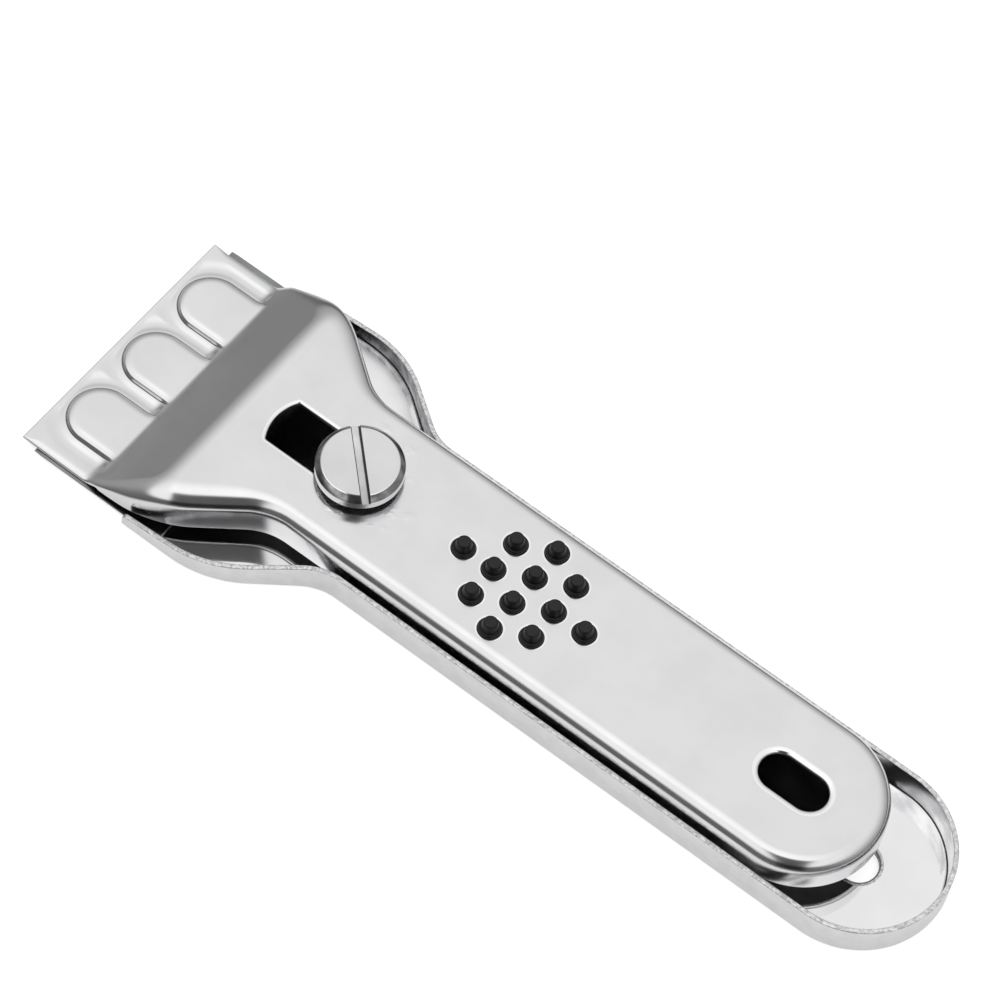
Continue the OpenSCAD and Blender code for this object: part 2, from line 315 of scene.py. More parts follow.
def polished_steel(name, light, dull, rough, line_depth=0.0004, line_scale=1.0, haze_scale=140):
    """Steel with fine polishing lines, whose colour drifts in hazy patches between light and dull, and
    whose roughness drifts between the two values of rough."""
    material = bpy.data.materials.new(name)
    material.use_nodes = True
    nodes, links = material.node_tree.nodes, material.node_tree.links
    surface = nodes["Principled BSDF"]
    surface.inputs["Metallic"].default_value = 1
    marks = nodes.new("ShaderNodeGroup")
    marks.node_tree = polish_marks
    marks.inputs["Line Scale"].default_value = line_scale
    marks.inputs["Haze Scale"].default_value = haze_scale
    marks.inputs["Low Roughness"].default_value = rough[0]
    marks.inputs["High Roughness"].default_value = rough[1]
    marks.inputs["Light"].default_value = (*light, 1)
    marks.inputs["Dull"].default_value = (*dull, 1)
    bump = nodes.new("ShaderNodeBump")
    bump.inputs["Distance"].default_value = line_depth * MM
    links.new(marks.outputs["Color"], surface.inputs["Base Color"])
    links.new(marks.outputs["Roughness"], surface.inputs["Roughness"])
    links.new(marks.outputs["Height"], bump.inputs["Height"])
    links.new(bump.outputs["Normal"], surface.inputs["Normal"])
    return material


tray_steel = polished_steel(
    "tray_steel", (0.81, 0.81, 0.81), (0.76, 0.76, 0.77), (0.08, 0.14), line_depth=0.0010, haze_scale=500)
# Painted shade: a darker copy of the tray steel for the insides of the walls and the punched walls of the
# holes.
wall_painted_shade = polished_steel(
    "wall_painted_shade", (0.40, 0.40, 0.41), (0.16, 0.16, 0.17), (0.16, 0.30), line_depth=0.0012, haze_scale=500)
# Painted light: a lighter copy of the same steel for the insides of the walls round the tail.
tail_wall_painted_light = polished_steel(
    "tail_wall_painted_light", (0.90, 0.90, 0.90), (0.58, 0.58, 0.59), (0.10, 0.20), line_depth=0.0012, haze_scale=260)
sheared_steel = polished_steel(
    "sheared_steel", (0.92, 0.92, 0.92), (0.55, 0.55, 0.56), (0.35, 0.55),
    line_depth=0.010, line_scale=0.5, haze_scale=2600)
floor_steel = polished_steel("floor_steel", (0.94, 0.94, 0.94), (0.90, 0.90, 0.91), (0.06, 0.10))
scuffed_steel = polished_steel("scuffed_steel", (0.95, 0.95, 0.95), (0.91, 0.91, 0.92), (0.28, 0.36))

# Stations along the head are close together where the wall ends in its rounded nose
wall_start = tray_front - wall_lead - travel
nose = wall_start + wall_nose * (1 - np.cos(np.radians(np.linspace(0, 90, 7))))
head_x = np.concatenate([nose, np.linspace(wall_start + wall_nose, shoulder_x, 12)[1:-1]])
wall_path, wall_normals = stamping_plan(head_x)
wall_rise = np.interp(wall_path[:, 0], [wall_start + wall_nose, neck_x], [wall_front, wall_height])
into_nose = np.clip((wall_path[:, 0] - wall_start) / wall_nose, 0, 1)
wall_top = wall_rise - wall_nose * (1 - np.sqrt(1 - (1 - into_nose) ** 2))
skin = side_gap + sheet
foot = sheet + foot_bend
inside = rounded((side_gap - foot_bend, foot), foot_bend, -90, 0, 5)
outside = rounded((skin - foot, foot), foot, 0, -90, 8)
crown = np.concatenate([
    rounded((side_gap + rim_round, -rim_round), rim_round, 180, 90, 4),
    rounded((skin - rim_round, -rim_round), rim_round, 90, 0, 4),
])
wall_across = np.concatenate([[floor_edge], inside[:, 0], crown[:, 0], outside[:, 0], [floor_edge]])
low_in = np.concatenate([[sheet], inside[:, 1]])
low_out = np.concatenate([outside[:, 1], [0]])
wall_z = np.concatenate([
    np.tile(low_in, (len(wall_path), 1)),
    wall_top[:, None] + crown[None, :, 1],
    np.tile(low_out, (len(wall_path), 1)),
], axis=1)
tray_path = wall_path + [travel, 0]
walls = carry(tray_path, wall_normals, wall_across, wall_z)
wall_columns = len(wall_across)
floor_strip, inner_wall, wall_rim, outer_wall = np.split(
    grid_faces(len(tray_path), wall_columns),
    [1, len(low_in), len(low_in) + len(crown) - 1], axis=1)
last_row = (len(tray_path) - 1) * wall_columns
wall_ends = np.array([np.arange(wall_columns), last_row + np.arange(wall_columns)[::-1]])

# The floor fills the plan between the walls and the jaw, round the hanging hole and the post's spigot
jaw_half = head_half + floor_edge
jaw_tip = np.array([[jaw_front, -jaw_half], [jaw_front, jaw_half]])
floor_loop = np.concatenate([tray_path + floor_edge * wall_normals, jaw_tip])
jaw = np.array([[tray_front, -jaw_half], *jaw_tip, [tray_front, jaw_half]])
jaw_edge = carry(jaw, 0 * jaw, np.zeros(2), np.array([sheet, 0]))
hole_reach = 0.6
hang_hole, hang_normals = long_hole(hang_x + travel, hang_half, hang_straight)
spigot, spigot_normals = ring(0, 0, spigot_half)
hang_rim = hole_rim(hang_hole, hang_normals, roll=0.35, drop=0.25, reach=hole_reach, top=sheet)
spigot_rim = hole_rim(spigot, spigot_normals, roll=0.1, drop=0.1, reach=hole_reach, top=sheet)
scuffed_y = 9.0
tail_start = 40.0
spot_count = 26
floor_spots = np.column_stack([np.linspace(-20, 80, spot_count), np.full(spot_count, scuffed_y + 0.1)])
floor_xy, floor_faces = fill(
    [floor_loop, hang_hole + hole_reach * hang_normals, spigot + hole_reach * spigot_normals], floor_spots)
face_x, face_y = floor_xy[floor_faces].mean(axis=1).T
scuffed = (face_y > scuffed_y) & (face_x < tail_start)
# in_tail picks the inner wall round the tail, which takes the painted light in place of the painted shade.
in_tail = tray_path[:-1, 0] > tail_start
floor_top = np.column_stack([floor_xy, np.full(len(floor_xy), sheet)])
floor_under = np.column_stack([floor_xy, np.zeros(len(floor_xy))])

# Pips are quarter ellipses turned into domes, each with a root inside the floor
pip_half, pip_height, pip_x, pip_y = 1.5, 0.8, -15.95, 10.75
pip_turn = np.radians(np.linspace(90, 0, 8))
pip_dome = np.column_stack([pip_half * np.cos(pip_turn), sheet + pip_height * np.sin(pip_turn)])
pip_dome[0, 0] = 0
pip, pip_faces = lathe(np.concatenate([pip_dome, [[pip_half, sheet / 2], [0, sheet / 2]]]), 40)

make_piece("tray_stamping", [
    (walls, outer_wall, 0),
    (walls, wall_ends, 0),
    (walls, inner_wall[~in_tail], 1),
    (walls, wall_rim, 2),
    (walls, inner_wall[in_tail], 5),
    (walls, floor_strip, 3),
    (jaw_edge, grid_faces(4, 2), 0),
    *hang_rim,
    *spigot_rim,
    (floor_top, floor_faces[~scuffed], 3),
    (floor_top, floor_faces[scuffed], 4),
    (floor_under, floor_faces, 0),
    (pip + [pip_x, -pip_y, 0], pip_faces, 0),
    (pip + [pip_x, pip_y, 0], pip_faces, 0),
], "tray", "bottom_tray",
    [tray_steel, wall_painted_shade, sheared_steel, floor_steel, scuffed_steel, tail_wall_painted_light])

# Screw post
# A turned steel post, riveted into the floor of the tray. The cover lies on its wide seat, the neck
# above it guides the slot of the cover, and the bore takes the thread of the clamp screw.
post_low, post_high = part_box("screw_post")
seat_half = (post_high.x - post_low.x) / 2 / MM
post_top = post_high.z / MM
neck_half = 3.5
seat_top = 8.75
bore_half = 2.04
bore_floor = 1.0
post_chamfer = 0.2
turned_steel = polished_steel(
    "turned_steel", (0.80, 0.80, 0.81), (0.74, 0.74, 0.75), (0.07, 0.14), line_depth=0.0003)
post_profile = [
    (0, 0), (spigot_half - post_chamfer, 0), (spigot_half, post_chamfer), (spigot_half, sheet),
    (seat_half - post_chamfer, sheet), (seat_half, sheet + post_chamfer),
    (seat_half, seat_top - post_chamfer), (seat_half - post_chamfer, seat_top), (neck_half, seat_top),
    (neck_half, post_top - post_chamfer), (neck_half - post_chamfer, post_top),
    (bore_half + post_chamfer, post_top), (bore_half, post_top - post_chamfer), (bore_half, bore_floor),
    (0, bore_floor),
]
make_piece(
    "threaded_post", [(*lathe(post_profile), 0)], "tray", "screw_post", [turned_steel])

# Razor blade
# A single edged blade of thin hard steel, ground to a long bevel on both faces. It lies on the jaw
# with its back against the pips, and the lip of the cover holds it down.
blade_low, blade_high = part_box("blade")
blade_front, blade_back = blade_low.x / MM - screw_x, blade_high.x / MM - screw_x
blade_half = blade_high.y / MM
blade_under, blade_top = blade_low.z / MM, blade_high.z / MM
ground = 1.2
edge_half = 0.02
blade_round = 0.05
blade_middle = (blade_under + blade_top) / 2
blade_x, blade_z = np.array([
    [blade_front, blade_middle + edge_half],
    [blade_front + ground, blade_top],
    [blade_back - blade_round, blade_top],
    [blade_back, blade_top - blade_round],
    [blade_back, blade_under + blade_round],
    [blade_back - blade_round, blade_under],
    [blade_front + ground, blade_under],
    [blade_front, blade_middle - edge_half],
]).T
blade_corners = len(blade_x)
blade_y = np.array([[-blade_half], [blade_half]])
blade_grid = np.stack(np.broadcast_arrays(blade_x, blade_y, blade_z), -1)
corner = np.arange(blade_corners)
after = (corner + 1) % blade_corners
blade_sides = np.column_stack([corner, after, blade_corners + after, blade_corners + corner])
blade_ends = np.array([corner, blade_corners + corner[::-1]])
# Painted shade: the blade's steel is set dark to stand for the shade under the lip of the cover.
blade_steel = polished_steel(
    "blade_steel", (0.32, 0.325, 0.33), (0.24, 0.245, 0.25), (0.16, 0.28), line_depth=0.0008, line_scale=1.6)
make_piece(
    "razor_blade", [(blade_grid, blade_sides, 0), (blade_grid, blade_ends, 0)],
    "blade", "blade", [blade_steel], sharp=5)

# Top cover
# The second stainless stamping: a thin lip with three raised tongues over the blade, a ramp, and a flat
# top whose edges are bent down into a skirt. It is punched for the post, the grip studs and a hook.
cover_low, cover_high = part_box("top_cover")
lip_front = cover_low.x / MM - screw_x
cover_top = cover_high.z / MM
lip_near, lip_far = 21.1, 20.5
lip_top = 1.75
lip_roll = 0.5
lip_fall = 1.1
front_roll = 0.22
ramp_front = -30.7
ramp_back = -19.55
foot_blend = 0.7
crest_blend = 1.2
side_blend = 1.4
side_start, side_length = 15, 5
edge_bend = 2.15
shoulder_bend = 1.2
skirt_front = -28.3
skirt_foot = 2.6
tail_foot = 4.0
front_drop = 0.8
tongue_half = 4.75
tongue_pitch = 12
tongue_height = 0.85
tongue_round = 1.5
tongue_wall = 0.35
tongue_lead = 1.5
tongue_nose = lip_front + tongue_lead + tongue_half
tongue_end = -29.2
wall_share = 0.6
wall_foot = 0.05
round_power = 2.2
lift_blend = 0.2
moat_depth = 0.18
moat_near = 1.2
moat_far = 3.4
moat_front = 0.4
moat_side = 0.1
moat_fade = 0.8
moat_climb = 0.6
crease_half = 0.08


def kink(x, at, blend):
    """Ramp function max(0, x - at), with a parabola of half length blend across its corner."""
    near = (x - at + blend) ** 2 / (4 * blend)
    return np.where(x < at - blend, 0, np.where(x > at + blend, x - at, near))


def smooth(t):
    """Smoother step from 0 to 1: 6 t^5 - 15 t^4 + 10 t^3."""
    t = np.clip(t, 0, 1)
    return t ** 3 * (t * (6 * t - 15) + 10)


def base_height(x, y):
    """Height of the cover along the tool: level lip, straight ramp and level top, blended. The blend at
    the crest is longer near the sides."""
    slope = (cover_top - lip_top) / (ramp_back - ramp_front)
    crest = crest_blend + side_blend * smooth((np.abs(y) - side_start) / side_length)
    return lip_top + slope * (kink(x, ramp_front, foot_blend) - kink(x, ramp_back, crest))


def inside_tongue(x, y):
    """Distance inside the foot of the nearest tongue: each is all within tongue_half of a line that
    runs back from the centre of its nose."""
    from_line = y - tongue_pitch * np.clip(np.round(y / tongue_pitch), -1, 1)
    return tongue_half - np.hypot(np.minimum(x - tongue_nose, 0), from_line)


def cover_height(x, y):
    """Base height, and on each tongue the lift to its level top. The sheet climbs a steep wall to wall_share
    of the lift. From there, with d from 0 to 1 across the round, it goes on as 1 - (1 - d)^round_power."""
    base = base_height(x, y)
    depth = inside_tongue(x, y)
    wall = np.clip(kink(depth, 0, wall_foot) / tongue_wall, 0, 1)
    top = 1 - (1 - np.clip((depth - tongue_wall) / (tongue_round - tongue_wall), 0, 1)) ** round_power
    lift = kink(lip_top + tongue_height - base, 0, lift_blend)
    return base + (wall_share * wall + (1 - wall_share) * top) * lift


def moat(x, y):
    """Depth of the shallow dip that the press drew round each tongue: it falls to moat_depth at moat_near
    from the foot and is gone at moat_far, near the edges of the lip and up on the ramp."""
    away = -inside_tongue(x, y)
    dip = smooth(away / moat_near) - smooth((away - moat_near) / (moat_far - moat_near))
    from_front = x - lip_front - moat_front
    from_side = np.where(y > 0, lip_far, lip_near) - np.abs(y) - lip_fall - moat_side
    flat = 1 - smooth((base_height(x, y) - lip_top) / moat_climb)
    return moat_depth * dip * smooth(np.minimum(from_front, from_side) / moat_fade) * flat


def thickness(x, y):
    """Thickness of the sheet measured straight down, more where the ramp slopes."""
    step = 0.01
    slope = (base_height(x + step, y) - base_height(x - step, y)) / (2 * step)
    return sheet * np.sqrt(1 + slope ** 2)


# Half of the closed plan: the front edge, a corner, the side of the lip, and then the shared plan
shared_plan, shared_normals = stamping_plan(np.zeros(0))
half_count = (len(shared_plan) + 1) // 2
front_count = 60
side_x = np.concatenate([
    np.linspace(lip_front, ramp_front - 1, 30)[1:], np.linspace(ramp_front - 1, shoulder_x, 40)[1:-1],
])
widen_lead = 0.5


def half_cover(lip_half):
    """Half of the plan of the cover and its outward normals, for a lip that reaches lip_half aside."""
    front = np.column_stack([np.full(front_count, lip_front), np.linspace(0, lip_half, front_count)])
    widen = smooth((side_x - ramp_front + widen_lead) / (skirt_front - ramp_front + 2 * widen_lead))
    side = np.column_stack([side_x, lip_half + (head_half - lip_half) * widen])
    points = np.concatenate([front, side, shared_plan[:half_count]])
    step = np.gradient(points, axis=0)
    normals = np.column_stack([-step[:, 1], step[:, 0]]) / np.linalg.norm(step, axis=1)[:, None]
    normals[:front_count] = [-1, 0]
    normals[front_count - 1] = [-1, 1]
    normals[front_count + len(side):] = shared_normals[:half_count]
    return points, normals


mirror = np.array([1, -1])
far_path, far_normals = half_cover(lip_far)
near_path, near_normals = half_cover(lip_near)
edge_path = np.concatenate([far_path, near_path[-2:0:-1] * mirror])
edge_normals = np.concatenate([far_normals, near_normals[-2:0:-1] * mirror])
edge_x = edge_path[:, :1]

# Shares along the edge: skirted is 0 on the thin lip and 1 on the full skirt, ramped grows up the ramp
# and aside is 0 on the front edge and 1 on the sides of the lip
skirt_lead, skirt_grow = 0.9, 1.2
corner_length = 3
shoulder_end, shoulder_fade = -14, 12
drop_length = 11
skirted = smooth((edge_x - skirt_front + skirt_lead) / skirt_grow)
ramped = smooth((edge_x - ramp_front) / (ramp_back - ramp_front))
aside = np.where(edge_normals[:, :1] == -1, 0, smooth((edge_x - lip_front) / corner_length))

# Upper side of a section: a narrow flat, and then a quarter ellipse with half axes bend and fall
full_bend = edge_bend + shoulder_bend * (1 - smooth((edge_x - shoulder_end) / shoulder_fade))
lip_depth = front_roll + (lip_roll - front_roll) * aside
lip_width = front_roll + (lip_fall - front_roll) * aside
fall = lip_depth + (edge_bend - lip_depth) * ramped
bend = lip_width + (full_bend - lip_width) * ramped
flat_width = 0.03
rim_reach = bend + flat_width
bend_turn = np.radians(np.linspace(0, 90, 11))[None]
upper_d = np.concatenate([-rim_reach, -bend * (1 - np.sin(bend_turn))], axis=1)
upper_drop = np.concatenate([0 * rim_reach, fall * (1 - np.cos(bend_turn))], axis=1)

# Lower side on the skirt: a round foot, and the inner face up to the inside of the bend
half_sheet = sheet / 2
foot_turn = np.radians(np.linspace(0, -180, 9))[None]
foot_d = half_sheet * (np.cos(foot_turn) - 1)
foot_rise = (tail_foot - skirt_foot) / (tail_x + handle_half - skirt_front)
skirt_low = skirt_foot + foot_rise * (edge_x - skirt_front)
skirt_low = skirt_low - front_drop * (1 - smooth((edge_x - skirt_front) / drop_length))
foot_z = skirt_low + half_sheet + half_sheet * np.sin(foot_turn)
least_bend = 0.05
inner_bend = np.maximum(bend - sheet, least_bend)
inner_turn = np.radians(np.linspace(0, 90, 8))[None]
inner_d = -sheet - inner_bend * (1 - np.cos(inner_turn))
inner_drop = sheet + inner_bend * (1 - np.sin(inner_turn))
ones = np.ones((len(edge_path), 1))
skirt_d = np.concatenate([foot_d * ones, inner_d], axis=1)

# Lower side on the lip: a rounded corner and the flat underside, with as many points as the skirt
lip_foot = 0.2
plate_turn = np.radians(np.linspace(0, -90, 5))
plate_share = np.linspace(0, 1, 13)[None, 1:]
plate_d = np.concatenate([
    lip_foot * (np.cos(plate_turn) - 1) * ones, -lip_foot + (lip_foot - rim_reach) * plate_share,
], axis=1)
plate_drop = np.concatenate([
    sheet - lip_foot - lip_foot * np.sin(plate_turn), np.full(plate_share.size, sheet),
])[None]

# The whole rim: each section follows the base height, and the lower side goes over from lip to skirt
upper_end = upper_d.shape[1]
foot_end = upper_end + foot_d.shape[1]
lower_end = upper_end + skirt_d.shape[1]
lower_d = (1 - skirted) * plate_d + skirted * skirt_d
rim_d = np.concatenate([upper_d, lower_d, -rim_reach], axis=1)
rim_xy = edge_path[:, None] + rim_d[..., None] * edge_normals[:, None]
rim_base = base_height(rim_xy[..., 0], rim_xy[..., 1])
rim_under = rim_base + sheet - thickness(rim_xy[..., 0], rim_xy[..., 1])
upper_z = rim_base[:, :upper_end] - upper_drop
skirt_z = np.concatenate([foot_z, rim_under[:, foot_end:lower_end] - inner_drop], axis=1)
plate_z = rim_under[:, upper_end:lower_end] - plate_drop
lower_z = (1 - skirted) * plate_z + skirted * skirt_z
rim_z = np.concatenate([upper_z, lower_z, rim_under[:, lower_end:] - sheet], axis=1)
rim = np.dstack([rim_xy, rim_z])
outer_rim, inner_rim = np.split(grid_faces(*rim_z.shape, True), [foot_end - 1], axis=1)

# Holes for the post, the studs and a hook, each with the roll, the drop and the reach of its rim
slot_front, slot_half, slot_round, slot_corner = -14.4, 3.7, 7, 0.45
slot_rim = (0.4, 0.3, 0.55)
hook_rim = (0.75, 0.36, 0.85)
stud_rim = (0.15, 0.12, 0.34)
arc_x = slot_front + slot_round
corner_y = slot_half - slot_corner
corner_x = arc_x - math.sqrt((slot_round - slot_corner) ** 2 - corner_y ** 2)
gamma = math.degrees(math.asin(corner_y / (slot_round - slot_corner)))
slot_side_path = np.concatenate([
    rounded((arc_x, 0), slot_round, 180, 180 - gamma, 10),
    rounded((corner_x, corner_y), slot_corner, 180 - gamma, 90, 8)[1:],
    np.column_stack([np.linspace(corner_x, 0, 12)[1:-1], np.full(10, slot_half)]),
    rounded((0, 0), slot_half, 90, 0, 20),
])
slot_angle = np.radians(np.concatenate([
    np.linspace(180, 180 - gamma, 11), np.linspace(180 - gamma, 90, 9)[1:], np.full(10, 90),
    np.linspace(90, 0, 21),
]))
slot_side_normals = np.column_stack([np.cos(slot_angle), np.sin(slot_angle)])
slot_path = np.concatenate([slot_side_path, slot_side_path[-2:0:-1] * mirror])
slot_normals = np.concatenate([slot_side_normals, slot_side_normals[-2:0:-1] * mirror])
stud_x, stud_row, stud_gap, stud_half = 28.1, 5.1, 5, 1.69
stud_places = [
    (stud_x + (i - 2) * stud_row, (j - (count - 1) / 2) * stud_gap)
    for i, count in enumerate([1, 3, 4, 3, 1]) for j in range(count)
]
holes = [
    (slot_path, slot_normals, *slot_rim),
    (*long_hole(hang_x, hang_half, hang_straight), *hook_rim),
    *[(*ring(x, y, stud_half), *stud_rim) for x, y in stud_places],
]
hole_rims = [shell for hole in holes for shell in hole_rim(*hole, cover_top)]

# Flat sheet between the rim and the holes, with a lattice of points where the lip and ramp are shaped
# and rings of points round the tongues
outer_loop = rim_xy[:, 0]
pitch = 0.22
ring_gap = 0.15
edge_gap = 0.18
lattice_lead, lattice_tail = 1.1, 0.4
lattice_end = ramp_back + crest_blend + side_blend + lattice_tail
shoulder_count = 30
lattice_x = np.arange(lip_front + lattice_lead, lattice_end, pitch)
lattice_y = np.arange(-head_half, head_half, pitch)
spot_x, spot_y = (a.ravel() for a in np.meshgrid(lattice_x, lattice_y))
side_loop = outer_loop[front_count:front_count + len(side_x) + shoulder_count]
side_loop = side_loop[np.argsort(side_loop[:, 0])]
side_limit = np.interp(spot_x, side_loop[:, 0], side_loop[:, 1])
spot_depth = inside_tongue(spot_x, spot_y)
clear_of_rings = (
    (spot_depth < -moat_near - ring_gap) | (spot_depth > tongue_round + ring_gap) | (spot_x > tongue_end))
keep = (np.abs(spot_y) < side_limit - edge_gap) & clear_of_rings
ring_depths = np.concatenate([
    np.linspace(-moat_near, -0.2, 5), [-0.06, 0], np.linspace(0.06, tongue_wall, 5), [0.42, 0.52],
    np.linspace(0.68, tongue_round, 5),
])
back_x = np.arange(tongue_nose, tongue_end - 0.05, pitch)[1:]
tongue_rings = []
for half in tongue_half - ring_depths:
    nose_arc = rounded((tongue_nose, 0), half, 90, 270, 60)
    sides = [np.column_stack([back_x, np.full(len(back_x), s * half)]) for s in (-1, 1)]
    outline = np.concatenate([nose_arc, *sides])
    tongue_rings += [outline + [0, k * tongue_pitch] for k in (-1, 0, 1)]
sheet_xy, sheet_faces = fill(
    [outer_loop] + [plan + width * out for plan, out, _, _, width in holes],
    np.concatenate([np.column_stack([spot_x, spot_y])[keep], *tongue_rings]))
raised_z = cover_height(*sheet_xy.T)
sheet_top = np.column_stack([sheet_xy, raised_z - moat(*sheet_xy.T)])
sheet_under = np.column_stack([sheet_xy, raised_z - thickness(*sheet_xy.T)])
middle_x, middle_y = sheet_xy[sheet_faces].mean(axis=1).T
# Faces along the foot of each tongue, which take the painted shade of the crease.
crease_end = tongue_end - 0.5
crease_shade_faces = (np.abs(inside_tongue(middle_x, middle_y)) < crease_half) & (middle_x < crease_end)


def scuffs(material):
    """Adds small dents that the screw and fingers left: noise on a ring round the screw, as a second bump."""
    nodes, links = material.node_tree.nodes, material.node_tree.links
    place = nodes.new("ShaderNodeTexCoord")
    away = nodes.new("ShaderNodeVectorMath")
    away.operation = "DISTANCE"
    away.inputs[1].default_value = (screw_x * MM, 0, cover_top * MM)
    ring_in = nodes.new("ShaderNodeMapRange")
    ring_in.inputs["From Min"].default_value = 13 * MM
    ring_in.inputs["From Max"].default_value = 8 * MM
    dents = nodes.new("ShaderNodeTexNoise")
    dents.inputs["Scale"].default_value = 420
    dents.inputs["Detail"].default_value = 3
    few = nodes.new("ShaderNodeMapRange")
    few.inputs["From Min"].default_value = 0.56
    few.inputs["From Max"].default_value = 0.72
    depth = nodes.new("ShaderNodeMath")
    depth.operation = "MULTIPLY"
    bump = nodes.new("ShaderNodeBump")
    bump.inputs["Distance"].default_value = 0.04 * MM
    links.new(place.outputs["Object"], away.inputs[0])
    links.new(place.outputs["Object"], dents.inputs["Vector"])
    links.new(away.outputs["Value"], ring_in.inputs["Value"])
    links.new(dents.outputs["Fac"], few.inputs["Value"])
    links.new(ring_in.outputs["Result"], depth.inputs[0])
    links.new(few.outputs["Result"], depth.inputs[1])
    links.new(depth.outputs["Value"], bump.inputs["Height"])
    links.new(bump.outputs["Normal"], nodes["Bump"].inputs["Normal"])


cover_steel = polished_steel("cover_steel", (0.84, 0.84, 0.845), (0.80, 0.80, 0.81), (0.16, 0.21))
scuffs(cover_steel)
# Painted shade: near black steel for the underside, the inside of the skirt and the punched walls of the
# holes.
inner_painted_shade = polished_steel("inner_painted_shade", (0.10, 0.10, 0.10), (0.08, 0.08, 0.08), (0.5, 0.6))
# Painted highlight: a near white copy of the steel for the rolled rims of the holes and the crest of the
# screw's head.
rim_painted_highlight = polished_steel("rim_painted_highlight", (0.98, 0.98, 0.98), (0.95, 0.95, 0.95), (0.10, 0.16))
# Painted shade: a dark band in the crease round the foot of each tongue.
crease_painted_shade = polished_steel("crease_painted_shade", (0.20, 0.20, 0.21), (0.14, 0.14, 0.15), (0.3, 0.4))
make_piece("cover_stamping", [
    (rim, outer_rim, 0),
    (rim, inner_rim, 1),
    (sheet_top, sheet_faces[~crease_shade_faces], 0),
    (sheet_top, sheet_faces[crease_shade_faces], 3),
    (sheet_under, sheet_faces, 1),
    *hole_rims,
], "cover", "top_cover", [cover_steel, inner_painted_shade, rim_painted_highlight, crease_painted_shade], sharp=50)

# Grip pad
# A moulded black rubber pad under the top of the cover. Its twelve studs are pushed up through the
# holes, each with a low collar that fills the hole and a round dome above it.
pad_low, pad_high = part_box("grip_pad")
pad_under = pad_low.z / MM
pad_top = cover_top - sheet
stud_top = pad_high.z / MM
stud_root = pad_under + 0.2
stem_half = stud_half - 0.02
collar = 0.42
collar_half = 1.60
collar_round = 0.12
collar_foot = 0.04
ledge_half = 1.24
ledge_round = 0.06
ledge_gap = 0.08
dome_half = 1.04
dome_round = 0.36
pad_x = np.array([pad_low.x, pad_high.x, pad_high.x, pad_low.x]) / MM - screw_x
pad_y = np.array([pad_low.y, pad_low.y, pad_high.y, pad_high.y]) / MM
pad_z = np.array([[pad_under], [pad_top]])
pad_box = np.stack(np.broadcast_arrays(pad_x, pad_y, pad_z), -1)
pad_faces = np.array([
    [3, 2, 1, 0], [4, 5, 6, 7], [0, 1, 5, 4], [1, 2, 6, 5], [2, 3, 7, 6], [3, 0, 4, 7],
])
collar_top = cover_top + collar
stud_profile = np.concatenate([
    [[0, stud_root], [stem_half, stud_root], [stem_half, cover_top + collar_foot]],
    rounded((collar_half - collar_round, collar_top - collar_round), collar_round, 15, 90, 5),
    rounded((ledge_half + ledge_gap, collar_top + ledge_round), ledge_round, 270, 195, 4),
    rounded((dome_half - dome_round, stud_top - dome_round), dome_round, 12, 90, 8),
    [[0, stud_top]],
])
stud, stud_faces = lathe(stud_profile, 40)


def moulded_rubber():
    """Black rubber with a fine moulded grain, a little greyer towards the tops of the studs."""
    material = bpy.data.materials.new("moulded_rubber")
    material.use_nodes = True
    nodes, links = material.node_tree.nodes, material.node_tree.links
    surface = nodes["Principled BSDF"]
    surface.inputs["Roughness"].default_value = 0.4
    surface.inputs["Specular IOR Level"].default_value = 0.35
    place = nodes.new("ShaderNodeTexCoord")
    axes = nodes.new("ShaderNodeSeparateXYZ")
    grain = nodes.new("ShaderNodeTexNoise")
    grain.inputs["Scale"].default_value = 4500
    grain.inputs["Detail"].default_value = 3
    top_share = nodes.new("ShaderNodeMapRange")
    top_share.inputs["From Min"].default_value = (cover_top + 0.6) * MM
    top_share.inputs["From Max"].default_value = stud_top * MM
    shade = nodes.new("ShaderNodeValToRGB")
    shade.color_ramp.elements[0].color = (0.003, 0.003, 0.003, 1)
    shade.color_ramp.elements[1].color = (0.022, 0.022, 0.023, 1)
    mottle = nodes.new("ShaderNodeMath")
    mottle.operation = "MULTIPLY"
    bump = nodes.new("ShaderNodeBump")
    bump.inputs["Distance"].default_value = 0.004 * MM
    links.new(place.outputs["Object"], grain.inputs["Vector"])
    links.new(place.outputs["Object"], axes.inputs["Vector"])
    links.new(axes.outputs["Z"], top_share.inputs["Value"])
    links.new(top_share.outputs["Result"], mottle.inputs[0])
    links.new(grain.outputs["Fac"], mottle.inputs[1])
    links.new(mottle.outputs["Value"], shade.inputs["Fac"])
    links.new(shade.outputs["Color"], surface.inputs["Base Color"])
    links.new(grain.outputs["Fac"], bump.inputs["Height"])
    links.new(bump.outputs["Normal"], surface.inputs["Normal"])
    return material


make_piece(
    "grip_studs", [(pad_box, pad_faces, 0)] + [(stud + [x, y, 0], stud_faces, 0) for x, y in stud_places],
    "cover", "grip_pad", [moulded_rubber()])

# Clamp screw
# A turned and plated steel screw with a wide flat head, bevelled at its edge and slotted for a coin.
# It stands a little loose in the post, clear of the cover.
cap_half = (screw_high.x - screw_low.x) / 2 / MM
cap_top = screw_high.z / MM
cap_under = 10.6
cap_chamfer = 0.8
cap_foot = 0.3
slot_depth = 1.1
slot_side = 0.68
slot_turn = math.radians(-44.8)
shank_half = 2.0
shank_end = screw_low.z / MM
shank_chamfer = 0.3
slot_floor = cap_top - slot_depth

